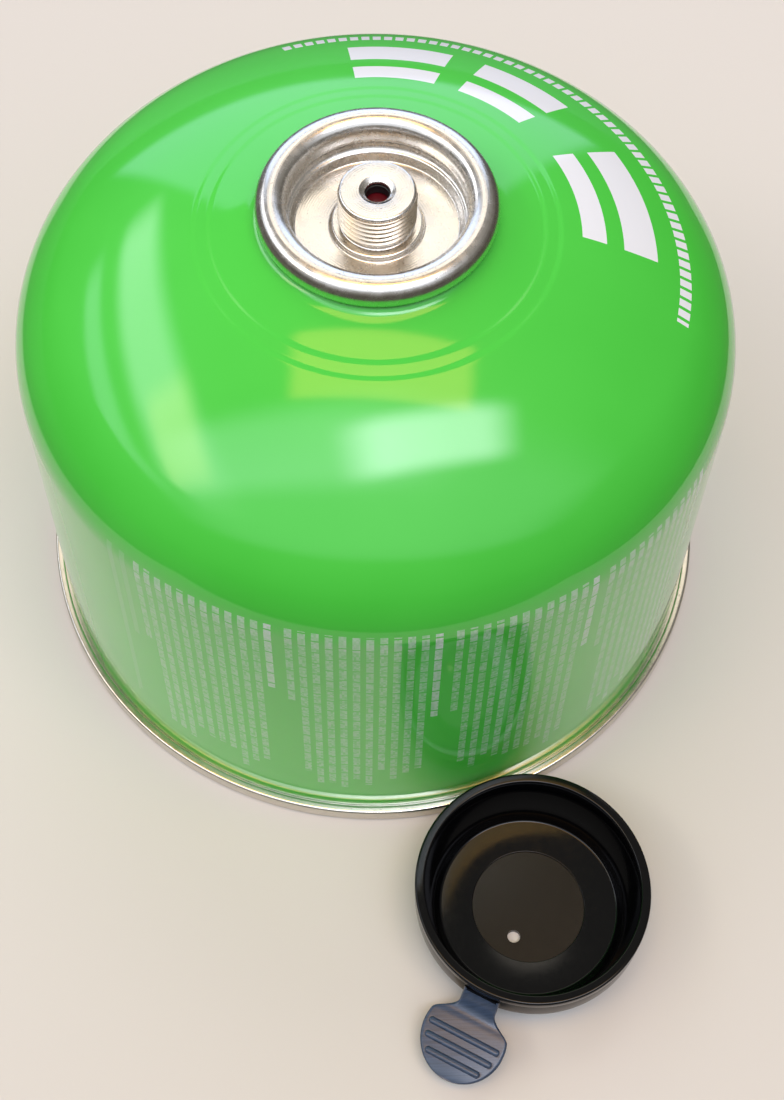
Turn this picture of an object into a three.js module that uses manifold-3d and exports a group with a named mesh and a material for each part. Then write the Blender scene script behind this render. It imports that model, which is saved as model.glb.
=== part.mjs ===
// A self-sealing screw-valve gas canister with its protective cap taken off.
// Millimetres, +Z up. The canister stands on its bottom seam. The cap lies beside it, open side up.
// The origin is the middle of the footprint of both, at table height.

import * as THREE from 'three';
import { mergeVertices } from 'three/addons/utils/BufferGeometryUtils.js';
import Module from 'manifold-3d';

const wasm = await Module();
wasm.setup();

// How finely round things are cut
const bodyFacets = 48;
const valveFacets = 32;
const innerFacets = 20;
const capFacets = 40;

// Drawn body: straight wall, then three tangent arcs up to the mouth, with two embossed rings
const bodyRadius = 54;
const wallTop = 59.6;
const shoulderRadius = 15.6;
const shoulderAngle = 38.6;
const haunchRadius = 22.7;
const haunchAngle = 18.1;
const crownRadius = 88.4;
const rootReveal = 1.53;
const ringReveal = 6.63;
const ringPitch = 2.2;
const ringCount = 2;
const ringDrop = 0.14;
const ringSlope = 0.5;
const bodySkirtWall = 0.3;

// Bottom end and its double seam
const seamOverhang = 1.7;
const seamHeight = 2.9;
const footRound = 0.5;
const endSheet = 0.4;
const chuckFit = 0.1;
const chuckRise = 1.4;
const panelShoulder = 2.4;
const panelRise = 6.3;
const seamGap = 0.2;
const panelGap = 0.4;

// Valve cup: collar curl, crimp, ledge, floor and threaded neck
const collarRadius = 17.07;
const curlRadius = 2.24;
const collarLift = 2.7;
const curlTuckAngle = 25;
const cupSheet = 0.4;
const cupWallDrop = 1.05;
const crimpBulge = 0.56;
const crimpDrop = 2.3;
const crimpClearance = 0.4;
const ledgeStep = 0.44;
const ledgeDrop = 3.45;
const floorStep = 1.05;
const floorDrop = 4.54;
const neckFootStep = 1.004;
const neckFootHeight = 0.7;
const threadRadius = 5.556;
const threadRelief = 0.3;
const neckRise = 3.16;
const neckWall = 1.056;
const neckTopWall = 0.8;
const neckTopRound = 0.45;
const valveHoleRadius = 1.75;
const valveHoleChamfer = 0.75;
const valveHoleChamferDepth = 0.45;

// Seals and the sprung valve inside the neck
const cupGasketThickness = 0.3;
const cupGasketGap = 0.12;
const cupGasketAngle = 70;
const seatGap = 0.3;
const neckGasketThickness = 1.5;
const neckGasketHole = 1.6;
const innerFit = 0.3;
const stemSeatGap = 0.15;
const stemHeadThickness = 1.2;
const stemShaftRadius = 1.3;
const stemShaftLength = 7;
const stemTipChamfer = 0.6;
const housingWall = 0.5;
const housingDepth = 12.6;
const housingFloor = 1;
const housingPort = 0.8;
const springWireRadius = 0.28;
const springTurns = 6;
const headspaceBelowHousing = 4;

// Cap: crown on the table, flank, skirt that slips over the collar, and a snap lip
const capHeight = 11;
const capFit = 0.05;
const capSkirtWall = 0.75;
const capFlangeStep = 0.13;
const capFlangeHeight = 1.45;
const capGrooveDepth = 0.35;
const capGrooveHeight = 0.3;
const capRimRound = 0.3;
const capLipRadius = 16.5;
const capLipHeight = 0.9;
const capSkirtStart = 5.5;
const capCrownRadius = 14.3;
const capFloorRadius = 13.75;
const capFloorThickness = 1.2;
const capDiscRadius = 8.75;
const capDiscDepth = 0.25;
const ventRadius = 1;
const ventOffset = 5.3;

// Pull tab of the cap, along the cap's own +X: it drops off the skirt and bends out into a paddle
const tabRootHeight = 8.4;
const tabRootWidth = 5.8;
const tabBendReach = 20.9;
const tabBendHeight = 4.7;
const tabBendLength = 2.2;
const tabTipHeight = 2.9;
const tabThickness = 0.9;
const tabEdgeRound = 0.3;
const paddleRadius = 6.5;
const paddleOffset = 23.5;
const tabFlare = 1.7;
const ribCount = 3;
const ribPitch = 1.98;
const ribRadius = 0.42;
const ribMargin = 0.75;
const firstRibOffset = 23.45;

// Where the cap was put down: its gap to the canister's wall, its bearing, and where its tab points
const capClearance = 2.126;
const capBearingAngle = -70.33;
const capTurnAngle = 243.3;

const radians = THREE.MathUtils.degToRad;
const point = (r, z) => new THREE.Vector2(r, z);

// Points on an arc about a centre, from one angle to another, in degrees
function arc(centre, radius, from, to, steps) {
  const points = [];
  for (let i = 0; i <= steps; i += 1) {
    const angle = radians(from + ((to - from) * i) / steps);
    points.push(point(centre.x + radius * Math.cos(angle), centre.y + radius * Math.sin(angle)));
  }
  return points;
}

// A bare closed mesh: only positions, shared corners merged, no triangle without area
function closedMesh(geometry) {
  const bare = geometry.clone();
  bare.deleteAttribute('normal');
  bare.deleteAttribute('uv');
  const merged = mergeVertices(bare, 1e-4);
  const index = merged.getIndex();
  const kept = [];
  for (let i = 0; i < index.count; i += 3) {
    const [a, b, c] = [index.getX(i), index.getX(i + 1), index.getX(i + 2)];
    if (a !== b && b !== c && c !== a) kept.push(a, b, c);
  }
  merged.setIndex(kept);
  return merged;
}

function enclosedVolume(geometry) {
  const position = geometry.getAttribute('position');
  const index = geometry.getIndex();
  const [a, b, c] = [new THREE.Vector3(), new THREE.Vector3(), new THREE.Vector3()];
  let volume = 0;
  for (let i = 0; i < index.count; i += 3) {
    a.fromBufferAttribute(position, index.getX(i));
    b.fromBufferAttribute(position, index.getX(i + 1));
    c.fromBufferAttribute(position, index.getX(i + 2));
    volume += a.dot(b.cross(c)) / 6;
  }
  return volume;
}

// Turns every face outward
function facingOut(geometry) {
  if (enclosedVolume(geometry) < 0) {
    const index = geometry.getIndex();
    for (let i = 0; i < index.count; i += 3) {
      const first = index.getX(i);
      index.setX(i, index.getX(i + 1));
      index.setX(i + 1, first);
    }
  }
  return geometry;
}

// A closed profile (r, z) spun about the Z axis
function spun(profile, facets) {
  const turned = new THREE.LatheGeometry([...profile, profile[0]], facets);
  turned.rotateX(Math.PI / 2);
  return facingOut(closedMesh(turned));
}

// A sheet-metal section: a centre line thickened to both sides
function sheetSection(line, thickness) {
  const outer = [];
  const inner = [];
  line.forEach((here, i) => {
    const before = line[Math.max(i - 1, 0)];
    const after = line[Math.min(i + 1, line.length - 1)];
    const along = after.clone().sub(before).normalize();
    const across = point(-along.y, along.x).multiplyScalar(thickness / 2);
    outer.push(here.clone().add(across));
    inner.unshift(here.clone().sub(across));
  });
  return [...outer, ...inner];
}

// A body lofted through rings of points, with both ends closed
function lofted(rings) {
  const size = rings[0].length;
  const index = [];
  for (let i = 0; i + 1 < rings.length; i += 1) {
    for (let j = 0; j < size; j += 1) {
      const k = (j + 1) % size;
      const [a, b] = [i * size + j, i * size + k];
      index.push(a, b, b + size, a, b + size, a + size);
    }
  }
  const last = (rings.length - 1) * size;
  for (let j = 1; j + 1 < size; j += 1) {
    index.push(0, j + 1, j, last, last + j, last + j + 1);
  }
  const geometry = new THREE.BufferGeometry().setFromPoints(rings.flat());
  geometry.setIndex(index);
  return facingOut(geometry);
}

function solid(geometry) {
  const vertProperties = new Float32Array(geometry.getAttribute('position').array);
  const triVerts = new Uint32Array(geometry.getIndex().array);
  return new wasm.Manifold(new wasm.Mesh({ numProp: 3, vertProperties, triVerts }));
}

function geometryOf(body) {
  const mesh = body.getMesh();
  const geometry = new THREE.BufferGeometry();
  geometry.setAttribute('position', new THREE.BufferAttribute(mesh.vertProperties, 3));
  geometry.setIndex(new THREE.BufferAttribute(mesh.triVerts, 1));
  return geometry;
}

function piece(name, geometry, color, roughness, metalness) {
  geometry.computeVertexNormals();
  const material = new THREE.MeshStandardMaterial({ color, roughness, metalness });
  const mesh = new THREE.Mesh(geometry, material);
  mesh.name = name;
  return mesh;
}

// Dome outline, from the top of the wall to the root of the mouth
function domeOutline() {
  const shoulderCentre = point(bodyRadius - shoulderRadius, wallTop);
  const shoulder = arc(shoulderCentre, shoulderRadius, 0, shoulderAngle, 6);
  const haunchEnd = shoulderAngle + haunchAngle;
  const haunchCentre = tangentCentre(shoulder.at(-1), haunchRadius, shoulderAngle);
  const haunch = arc(haunchCentre, haunchRadius, shoulderAngle, haunchEnd, 3);
  const crownCentre = tangentCentre(haunch.at(-1), crownRadius, haunchEnd);
  const onCrown = (r, drop) => {
    const height = crownCentre.y + Math.sqrt(crownRadius ** 2 - (r - crownCentre.x) ** 2);
    return point(r, height - drop);
  };
  const firstRing = collarRadius + ringReveal + ringPitch * (ringCount - 1);
  const smoothCrown = [];
  const flats = 5;
  for (let i = 1; i < flats; i += 1) {
    smoothCrown.push(onCrown(THREE.MathUtils.lerp(haunch.at(-1).x, firstRing, i / flats), 0));
  }
  const steps = [];
  for (let i = 0; i < ringCount; i += 1) {
    const ringRadius = firstRing - i * ringPitch;
    steps.push(onCrown(ringRadius + ringSlope, i * ringDrop));
    steps.push(onCrown(ringRadius - ringSlope, (i + 1) * ringDrop));
  }
  const root = onCrown(collarRadius + rootReveal, ringCount * ringDrop);
  return [...shoulder, ...haunch.slice(1), ...smoothCrown, ...steps, root];
}

function tangentCentre(start, radius, angle) {
  const outward = point(Math.cos(radians(angle)), Math.sin(radians(angle)));
  return start.clone().addScaledVector(outward, -radius);
}

// Places that follow from the wall and the collar
const seamRadius = bodyRadius + seamOverhang;
const chuckOuter = bodyRadius - bodySkirtWall - chuckFit;
const seamInnerRadius = chuckOuter - endSheet;
const panelRadius = seamInnerRadius - panelShoulder;
const chuckWallHeight = seamHeight + chuckRise;
const cupWallRadius = collarRadius - 2 * curlRadius + cupSheet / 2;
const crimpRadius = cupWallRadius + crimpBulge;
const ledgeRadius = cupWallRadius - ledgeStep;
const floorRadius = ledgeRadius - floorStep;
const neckFootRadius = threadRadius + neckFootStep;
const neckBore = threadRadius - neckWall;
const capSkirtInner = collarRadius + capFit;
const capSkirtOuter = capSkirtInner + capSkirtWall;
const capRadius = capSkirtOuter + capFlangeStep;

// Heights that follow from the dome
const dome = domeOutline();
const domeRoot = dome.at(-1);
const curlCentre = point(collarRadius - curlRadius, domeRoot.y + collarLift);
const cupFloor = curlCentre.y - floorDrop;
const neckTop = curlCentre.y + neckRise;
const neckRoof = neckTop - neckTopWall;
const gasketTop = neckRoof - seatGap;
const gasketBottom = gasketTop - neckGasketThickness;
const stemTop = gasketBottom - stemSeatGap;
const housingTop = gasketBottom - seatGap;
const housingBottom = housingTop - housingDepth;
const mouthRadius = crimpRadius + cupSheet / 2 + crimpClearance;
const beadRadius = curlRadius - cupSheet - 2 * cupGasketGap - cupGasketThickness;

// Underside of the bottom panel, a shallow inward dome, from its rim to the axis
function panelArc(rimHeight) {
  const radius = (panelRadius ** 2 + panelRise ** 2) / (2 * panelRise);
  const centre = point(0, rimHeight + panelRise - radius);
  const rimAngle = THREE.MathUtils.radToDeg(Math.acos(panelRadius / radius));
  return arc(centre, radius, rimAngle, 90, 4);
}

// The body is drawn from one sheet. It is closed and full, so it is solid below its headspace.
function makeBody() {
  const beadStart = -30;
  const bead = arc(curlCentre, beadRadius, beadStart, 180 - beadStart, 7);
  const crownSlope = (dome.at(-1).y - dome.at(-2).y) / (dome.at(-2).x - dome.at(-1).x);
  const bend = point(bead[0].x, domeRoot.y + (domeRoot.x - bead[0].x) * crownSlope);
  const root = new THREE.QuadraticBezierCurve(domeRoot, bend, bead[0]).getPoints(3);
  const headspaceFloor = housingBottom - headspaceBelowHousing;
  const skirtInner = bodyRadius - bodySkirtWall;
  const profile = [
    point(bodyRadius, seamHeight + seamGap),
    ...dome,
    ...root.slice(1, -1),
    ...bead,
    point(mouthRadius, curlCentre.y - beadRadius),
    point(mouthRadius, headspaceFloor),
    point(0, headspaceFloor),
    ...panelArc(chuckWallHeight + panelGap).reverse(),
    point(skirtInner, chuckWallHeight + panelGap),
    point(skirtInner, seamHeight + seamGap),
  ];
  return piece('can_body', spun(profile, bodyFacets), 0x4fc448, 0.18, 0);
}

// Bottom end: inward domed panel, chuck wall, and the double seam that the canister stands on
function makeBaseEnd() {
  const panelUnder = chuckWallHeight - endSheet;
  const footInner = point(seamInnerRadius + footRound, footRound);
  const footOuter = point(seamRadius - footRound, footRound);
  const shoulder = point(seamRadius - footRound, seamHeight - footRound);
  const profile = [
    ...panelArc(panelUnder).reverse(),
    point(seamInnerRadius - footRound, panelUnder),
    point(seamInnerRadius, panelUnder - footRound),
    ...arc(footInner, footRound, 180, 270, 2),
    ...arc(footOuter, footRound, 270, 360, 2),
    ...arc(shoulder, footRound, 0, 90, 3),
    point(chuckOuter, seamHeight),
    point(chuckOuter, chuckWallHeight - footRound),
    point(chuckOuter - footRound, chuckWallHeight),
    ...panelArc(chuckWallHeight),
  ];
  return piece('base_end', spun(profile, bodyFacets), 0xb9b4a6, 0.3, 1);
}

// Valve cup: one pressing with a curled collar, crimped wall, flat floor and threaded neck
function makeValveCup() {
  const centreLine = curlRadius - cupSheet / 2;
  const below = (radius, drop) => point(radius, curlCentre.y - drop);
  const floorLine = cupFloor - cupSheet / 2;
  const crimp = new THREE.SplineCurve([
    below(cupWallRadius, cupWallDrop),
    below(crimpRadius, crimpDrop),
    below(ledgeRadius, ledgeDrop),
  ]).getPoints(5);
  const line = [
    ...arc(curlCentre, centreLine, -curlTuckAngle, 180, 10),
    ...crimp,
    point((ledgeRadius + floorRadius) / 2, (crimp.at(-1).y + floorLine) / 2 - cupSheet / 2),
    point(floorRadius, floorLine),
    point((neckFootRadius + neckBore) / 2, floorLine),
  ];
  const pressing = spun(sheetSection(line, cupSheet), valveFacets);

  const footTop = cupFloor + neckFootHeight;
  const rootRadius = threadRadius - threadRelief;
  const topRound = point(threadRadius - neckTopRound, neckTop - neckTopRound);
  const neck = [
    point(neckBore, cupFloor - cupSheet),
    point(neckFootRadius, cupFloor - cupSheet),
    point(neckFootRadius, footTop),
    point(rootRadius, footTop + neckFootHeight),
    point(threadRadius, footTop + neckFootHeight + threadRelief),
    ...arc(topRound, neckTopRound, 0, 90, 3),
    point(valveHoleRadius + valveHoleChamfer, neckTop),
    point(valveHoleRadius, neckTop - valveHoleChamferDepth),
    point(valveHoleRadius, neckRoof),
    point(neckBore, neckRoof),
  ];
  const body = solid(pressing).add(solid(spun(neck, valveFacets)));
  return piece('valve_cup', geometryOf(body), 0xcfcac2, 0.22, 1);
}

// Ring that seals the cup's curl on the body's bead
function makeCupGasket() {
  const inner = beadRadius + cupGasketGap;
  const outer = inner + cupGasketThickness;
  const [from, to] = [90 - cupGasketAngle, 90 + cupGasketAngle];
  const profile = [...arc(curlCentre, outer, from, to, 5), ...arc(curlCentre, inner, to, from, 5)];
  return piece('cup_gasket', spun(profile, valveFacets), 0x2a2a2a, 0.7, 0);
}

// Washer under the roof of the neck: its edge shows in the hole, and the stem seals on its underside
function makeNeckGasket() {
  const outer = neckBore - innerFit;
  const profile = [
    point(neckGasketHole, gasketBottom),
    point(outer, gasketBottom),
    point(outer, gasketTop),
    point(neckGasketHole, gasketTop),
  ];
  return piece('neck_gasket', spun(profile, innerFacets), 0x101012, 0.6, 0);
}

// Moulded housing that holds the washer, spring and stem in the neck
function makeHousing() {
  const outer = neckBore - innerFit;
  const bore = outer - housingWall;
  const floorTop = housingBottom + housingFloor;
  const profile = [
    point(housingPort, housingBottom),
    point(outer - housingWall, housingBottom),
    point(outer, housingBottom + housingWall),
    point(outer, housingTop),
    point(bore, housingTop),
    point(bore, floorTop),
    point(housingPort, floorTop),
  ];
  return piece('valve_housing', spun(profile, innerFacets), 0xd8d4c8, 0.5, 0);
}

// Stem: a sealing head that is pushed down off the washer, and a shaft that guides the spring
function makeStem() {
  const headRadius = neckBore - innerFit - housingWall - innerFit;
  const headUnder = stemTop - stemHeadThickness;
  const shaftEnd = headUnder - stemShaftLength;
  const profile = [
    point(0, shaftEnd),
    point(stemShaftRadius - stemTipChamfer, shaftEnd),
    point(stemShaftRadius, shaftEnd + stemTipChamfer),
    point(stemShaftRadius, headUnder),
    point(headRadius, headUnder),
    point(headRadius, stemTop),
    point(0, stemTop),
  ];
  return piece('valve_stem', spun(profile, innerFacets), 0x6e1418, 0.35, 0);
}

// Helix about the Z axis, with a flat turn at each end
class SpringPath extends THREE.Curve {
  constructor(radius, bottom, top) {
    super();
    this.radius = radius;
    this.bottom = bottom;
    this.top = top;
  }

  getPoint(t, target = new THREE.Vector3()) {
    const angle = 2 * Math.PI * springTurns * t;
    const rise = THREE.MathUtils.smoothstep(t, 0, 1);
    const height = this.bottom + (this.top - this.bottom) * rise;
    return target.set(this.radius * Math.cos(angle), this.radius * Math.sin(angle), height);
  }
}

// Compression spring between the housing's floor and the stem's head
function makeSpring() {
  const bottom = housingBottom + housingFloor + stemSeatGap + springWireRadius;
  const top = stemTop - stemHeadThickness - stemSeatGap - springWireRadius;
  const bore = neckBore - innerFit - housingWall;
  const path = new SpringPath((bore + stemShaftRadius) / 2, bottom, top);
  const wire = new THREE.Shape();
  wire.absarc(0, 0, springWireRadius, 0, 2 * Math.PI, false);
  const settings = { steps: springTurns * 10, curveSegments: 3, bevelEnabled: false, extrudePath: path };
  const coil = facingOut(closedMesh(new THREE.ExtrudeGeometry(wire, settings)));
  return piece('valve_spring', coil, 0xb8b8b8, 0.3, 1);
}

// Side view of the tab's middle, as (reach, height): a bend off the skirt, then the straight paddle
const tabTip = point(paddleOffset + paddleRadius, tabTipHeight);
const tabBend = point(tabBendReach, tabBendHeight);
const paddleSlope = (tabTip.y - tabBend.y) / (tabTip.x - tabBend.x);
const onPaddle = (reach) => point(reach, tabBend.y + (reach - tabBend.x) * paddleSlope);
const tabRoot = point(capSkirtInner + capSkirtWall / 2, tabRootHeight);
const tabDrop = new THREE.QuadraticBezierCurve(tabRoot, onPaddle(tabBendReach - tabBendLength), tabBend);

// Half the tab's width: a narrow neck that flares into the round paddle
function tabHalfWidth(reach) {
  const neck = tabRootWidth / 2;
  const acrossDisc = Math.sqrt(Math.max(paddleRadius ** 2 - (reach - paddleOffset) ** 2, 0));
  if (reach > paddleOffset) return acrossDisc;
  const flareStart = paddleOffset - paddleRadius + tabFlare;
  const share = THREE.MathUtils.smoothstep(reach, flareStart, paddleOffset - tabFlare);
  return neck + (paddleRadius - neck) * share;
}

// The tab is lofted from sections that stand square to its side view
function makeTab() {
  const stations = [];
  const bendSteps = 7;
  for (let i = 0; i < bendSteps; i += 1) {
    stations.push([tabDrop.getPoint(i / bendSteps), tabDrop.getTangent(i / bendSteps)]);
  }
  const paddleSteps = 16;
  const lastReach = paddleOffset + Math.sqrt(paddleRadius ** 2 - tabEdgeRound ** 2);
  const along = point(1, paddleSlope).normalize();
  for (let i = 0; i <= paddleSteps; i += 1) {
    const eased = Math.sin((i / paddleSteps) * (Math.PI / 2));
    stations.push([onPaddle(THREE.MathUtils.lerp(tabBendReach, lastReach, eased)), along]);
  }
  const rings = stations.map(([middle, direction]) => {
    const up = point(-direction.y, direction.x).multiplyScalar(tabThickness / 2);
    const width = tabHalfWidth(middle.x);
    const flat = width - tabEdgeRound;
    const corner = (side, lift) => new THREE.Vector3(middle.x + lift * up.x, side, middle.y + lift * up.y);
    return [
      corner(width, -0.5),
      corner(width, 0.5),
      corner(flat, 1),
      corner(-flat, 1),
      corner(-width, 0.5),
      corner(-width, -0.5),
      corner(-flat, -1),
      corner(flat, -1),
    ];
  });
  return lofted(rings);
}

// Three raised grip ribs across the paddle
function makeRibs() {
  const ribs = [];
  for (let i = 0; i < ribCount; i += 1) {
    const reach = firstRibOffset + i * ribPitch;
    const length = 2 * (tabHalfWidth(reach) - ribMargin - ribRadius);
    const rib = new THREE.CapsuleGeometry(ribRadius, length, 3, 8);
    rib.translate(reach, 0, onPaddle(reach).y + tabThickness / 2);
    ribs.push(facingOut(closedMesh(rib)));
  }
  return ribs;
}

// Cap, moulded in one piece with its tab
function makeCap() {
  const flangeUnder = capHeight - capFlangeHeight;
  const grooveFloor = capSkirtOuter - capGrooveDepth;
  const grooveUnder = flangeUnder - capGrooveHeight;
  const rimOuter = point(capRadius - capRimRound, capHeight - capRimRound);
  const rimInner = point(capLipRadius + capRimRound, capHeight - capRimRound);
  const discFloor = capFloorThickness - capDiscDepth;
  const profile = [
    point(0, 0),
    point(capCrownRadius - capRimRound, 0),
    point(capCrownRadius + capRimRound, capRimRound),
    point(capSkirtOuter - capRimRound, capSkirtStart - capRimRound),
    point(capSkirtOuter, capSkirtStart + capRimRound),
    point(capSkirtOuter, grooveUnder - capRimRound),
    point(grooveFloor, grooveUnder),
    point(grooveFloor, flangeUnder),
    point(capRadius, flangeUnder + capRimRound),
    ...arc(rimOuter, capRimRound, 0, 90, 2),
    ...arc(rimInner, capRimRound, 90, 180, 2),
    point(capLipRadius, capHeight - capLipHeight),
    point(capSkirtInner, capHeight - capLipHeight - (capSkirtInner - capLipRadius)),
    point(capSkirtInner, capSkirtStart),
    point(capFloorRadius, capFloorThickness),
    point(capDiscRadius, capFloorThickness),
    point(capDiscRadius, discFloor),
    point(0, discFloor),
  ];
  const vent = new THREE.CylinderGeometry(ventRadius, ventRadius, 4 * capFloorThickness, innerFacets);
  vent.rotateX(Math.PI / 2);
  vent.translate(ventOffset, 0, 0);
  let body = solid(spun(profile, capFacets)).subtract(solid(facingOut(closedMesh(vent))));
  body = body.add(solid(makeTab()));
  for (const rib of makeRibs()) {
    body = body.add(solid(rib));
  }
  return piece('cap', geometryOf(body), 0x0d0d0f, 0.25, 0);
}

const canister = new THREE.Group();
canister.add(makeBody(), makeBaseEnd(), makeValveCup(), makeCupGasket());
canister.add(makeNeckGasket(), makeHousing(), makeStem(), makeSpring());

const cap = makeCap();
const capDistance = bodyRadius + capClearance + capRadius;
const capBearing = radians(capBearingAngle);
cap.position.set(capDistance * Math.cos(capBearing), capDistance * Math.sin(capBearing), 0);
cap.rotation.z = radians(capTurnAngle);

// Both together are centred on the origin
const part = new THREE.Group();
part.add(canister, cap);
part.updateMatrixWorld(true);
const footprint = new THREE.Box3().setFromObject(part, true);
part.position.x = -(footprint.min.x + footprint.max.x) / 2;
part.position.y = -(footprint.min.y + footprint.max.y) / 2;

export default part;
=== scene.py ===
"""A green screw-valve gas canister standing beside its black pull-tab cap.

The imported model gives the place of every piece. Sizes are in millimetres, and are scaled to metres
where the vertices are made.
"""

from math import acos, cos, degrees, pi, radians, sin, sqrt

import bmesh
import bpy
from mathutils import Matrix, Vector


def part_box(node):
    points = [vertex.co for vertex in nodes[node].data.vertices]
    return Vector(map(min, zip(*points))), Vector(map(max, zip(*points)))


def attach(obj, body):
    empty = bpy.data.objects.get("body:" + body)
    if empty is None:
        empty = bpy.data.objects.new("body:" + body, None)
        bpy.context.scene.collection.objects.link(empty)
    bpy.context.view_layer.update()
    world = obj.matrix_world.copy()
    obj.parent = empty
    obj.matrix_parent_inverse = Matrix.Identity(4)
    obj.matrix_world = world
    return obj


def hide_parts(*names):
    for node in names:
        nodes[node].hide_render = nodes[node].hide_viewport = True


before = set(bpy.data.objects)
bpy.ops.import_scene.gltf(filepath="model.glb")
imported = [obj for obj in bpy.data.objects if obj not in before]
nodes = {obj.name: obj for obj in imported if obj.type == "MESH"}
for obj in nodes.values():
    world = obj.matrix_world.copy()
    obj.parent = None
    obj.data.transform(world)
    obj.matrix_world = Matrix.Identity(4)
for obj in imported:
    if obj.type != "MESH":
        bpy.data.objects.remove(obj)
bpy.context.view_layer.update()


# The canister's axis
# Every piece of the canister is turned about it. It is found from the body's solid.
MM = 0.001
body_low, body_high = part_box("can_body")
axis_x = (body_low.x + body_high.x) / 2
axis_y = (body_low.y + body_high.y) / 2


# Camera
# It looks down at the canister from in front. The can stood left of and above the middle of the
# photograph's frame, which is what the shift is for.
view_down = radians(56.42)
view_roll = radians(0.690)
view_distance = 298.6
view_height = 44.18
focal_pixels = 1890.0
frame_width, frame_height = 784, 1100
centre_column, centre_row = 375.15, 380.63
sensor = 36.0

camera_data = bpy.data.cameras.new("camera")
camera_data.sensor_width = sensor
camera_data.lens = focal_pixels / frame_height * sensor
camera_data.shift_x = (frame_width / 2 - centre_column) / frame_height
camera_data.shift_y = (centre_row - frame_height / 2) / frame_height
camera_data.clip_start = 0.01
camera = bpy.data.objects.new("camera", camera_data)
bpy.context.scene.collection.objects.link(camera)
ahead = Vector((0, cos(view_down), -sin(view_down)))
level_right, level_up = Vector((1, 0, 0)), Vector((0, sin(view_down), cos(view_down)))
right = level_right * cos(view_roll) + level_up * sin(view_roll)
up = level_up * cos(view_roll) - level_right * sin(view_roll)
aim = Matrix((right, up, -ahead)).transposed()
target = Vector((axis_x, axis_y, view_height * MM))
camera.matrix_world = Matrix.Translation(target - ahead * view_distance * MM) @ aim.to_4x4()
bpy.context.scene.camera = camera


# Drawn body
# One sheet of tinplate drawn into wall and dome, lacquered green and printed in white before it
# was formed. Two fine rings are embossed round its mouth, which is rolled into a bead.
wall_radius = 54.0
wall_bottom = 2.35
wall_top = 59.6
wall_joints = (25.0, 45.0)
shoulder_radius, shoulder_turn = 15.6, 38.6
haunch_radius, haunch_turn = 22.7, 18.1
crown_radius = 88.4
collar_radius = 17.07
root_radius = collar_radius + 1.53
root_lift = 0.55
ring_radii = (25.9, 23.7)
rings_outer, rings_inner = 27.0, 22.6
ring_drop = 0.14
ring_slope = 0.5
curl_radius = 2.24
collar_lift = 2.7
bead_radius = 1.3
body_sheet = 0.3


def arc(centre, radius, start, end, steps):
    """Points (r, z) on an arc, from one angle to another in degrees."""
    angles = [radians(start + (end - start) * i / steps) for i in range(steps + 1)]
    return [(centre[0] + radius * cos(a), centre[1] + radius * sin(a)) for a in angles]


def tangent_centre(start, radius, angle):
    """Centre of an arc that carries on from a point in the last arc's direction."""
    return (start[0] - radius * cos(radians(angle)), start[1] - radius * sin(radians(angle)))


def ease(value, low, high):
    """A smooth step from 0 to 1."""
    share = min(max((value - low) / (high - low), 0), 1)
    return share * share * (3 - 2 * share)


def on_crown(radius):
    """A point of the crown. Each embossed ring lets it down by one small step."""
    rise = sqrt(crown_radius**2 - (radius - crown_centre[0]) ** 2)
    drop = sum(ring_drop * ease(ring + ring_slope - radius, 0, 2 * ring_slope) for ring in ring_radii)
    return (radius, crown_centre[1] + rise - drop)


def on_bend(guides, share):
    """A point of the smooth bend that three points guide, from its share of the way along."""
    weights = ((1 - share) ** 2, 2 * share * (1 - share), share * share)
    return tuple(sum(w * guide[k] for w, guide in zip(weights, guides)) for k in (0, 1))


shoulder = arc((wall_radius - shoulder_radius, wall_top), shoulder_radius, 0, shoulder_turn, 18)
haunch_end = shoulder_turn + haunch_turn
haunch_centre = tangent_centre(shoulder[-1], haunch_radius, shoulder_turn)
haunch = arc(haunch_centre, haunch_radius, shoulder_turn, haunch_end, 8)
crown_centre = tangent_centre(haunch[-1], crown_radius, haunch_end)
crown = []
crown_parts = (
    (haunch[-1][0], rings_outer, 12),
    (rings_outer, rings_inner, 30),
    (rings_inner, root_radius, 5),
)
for start, end, steps in crown_parts:
    crown += [on_crown(start + (end - start) * i / steps) for i in range(1, steps + 1)]
curl_centre = (collar_radius - curl_radius, crown[-1][1] + collar_lift)
bead = arc(curl_centre, bead_radius, -30, 210, 24)
root_guides = (crown[-1], (bead[0][0], crown[-1][1] + root_lift), bead[0])
root_steps = 9
root = [on_bend(root_guides, i / root_steps) for i in range(1, root_steps)]
side = [(wall_radius, height) for height in (wall_bottom, *wall_joints)]
body_profile = side + shoulder + haunch[1:] + crown + root + bead


def turned(name, profile, steps=256, centre=(axis_x, axis_y), closed=True, sheet=0.0):
    """A mesh spun from (r, z) points about an upright axis: a solid, or a sheet of some thickness."""
    bm = bmesh.new()
    verts = [bm.verts.new((centre[0] + r * MM, centre[1], z * MM)) for r, z in profile]
    pairs = list(zip(verts, verts[1:]))
    if closed:
        pairs.append((verts[-1], verts[0]))
    for pair in pairs:
        bm.edges.new(pair)
    bmesh.ops.spin(
        bm,
        geom=bm.verts[:] + bm.edges[:],
        cent=(centre[0], centre[1], 0),
        axis=(0, 0, 1),
        dvec=(0, 0, 0),
        angle=2 * pi,
        steps=steps,
        use_merge=True,
        use_duplicate=False,
    )
    bmesh.ops.remove_doubles(bm, verts=bm.verts[:], dist=1e-7)
    bmesh.ops.recalc_face_normals(bm, faces=bm.faces[:])
    if sheet:
        bmesh.ops.solidify(bm, geom=bm.faces[:], thickness=sheet * MM)
    return finished(name, bm)


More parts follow.
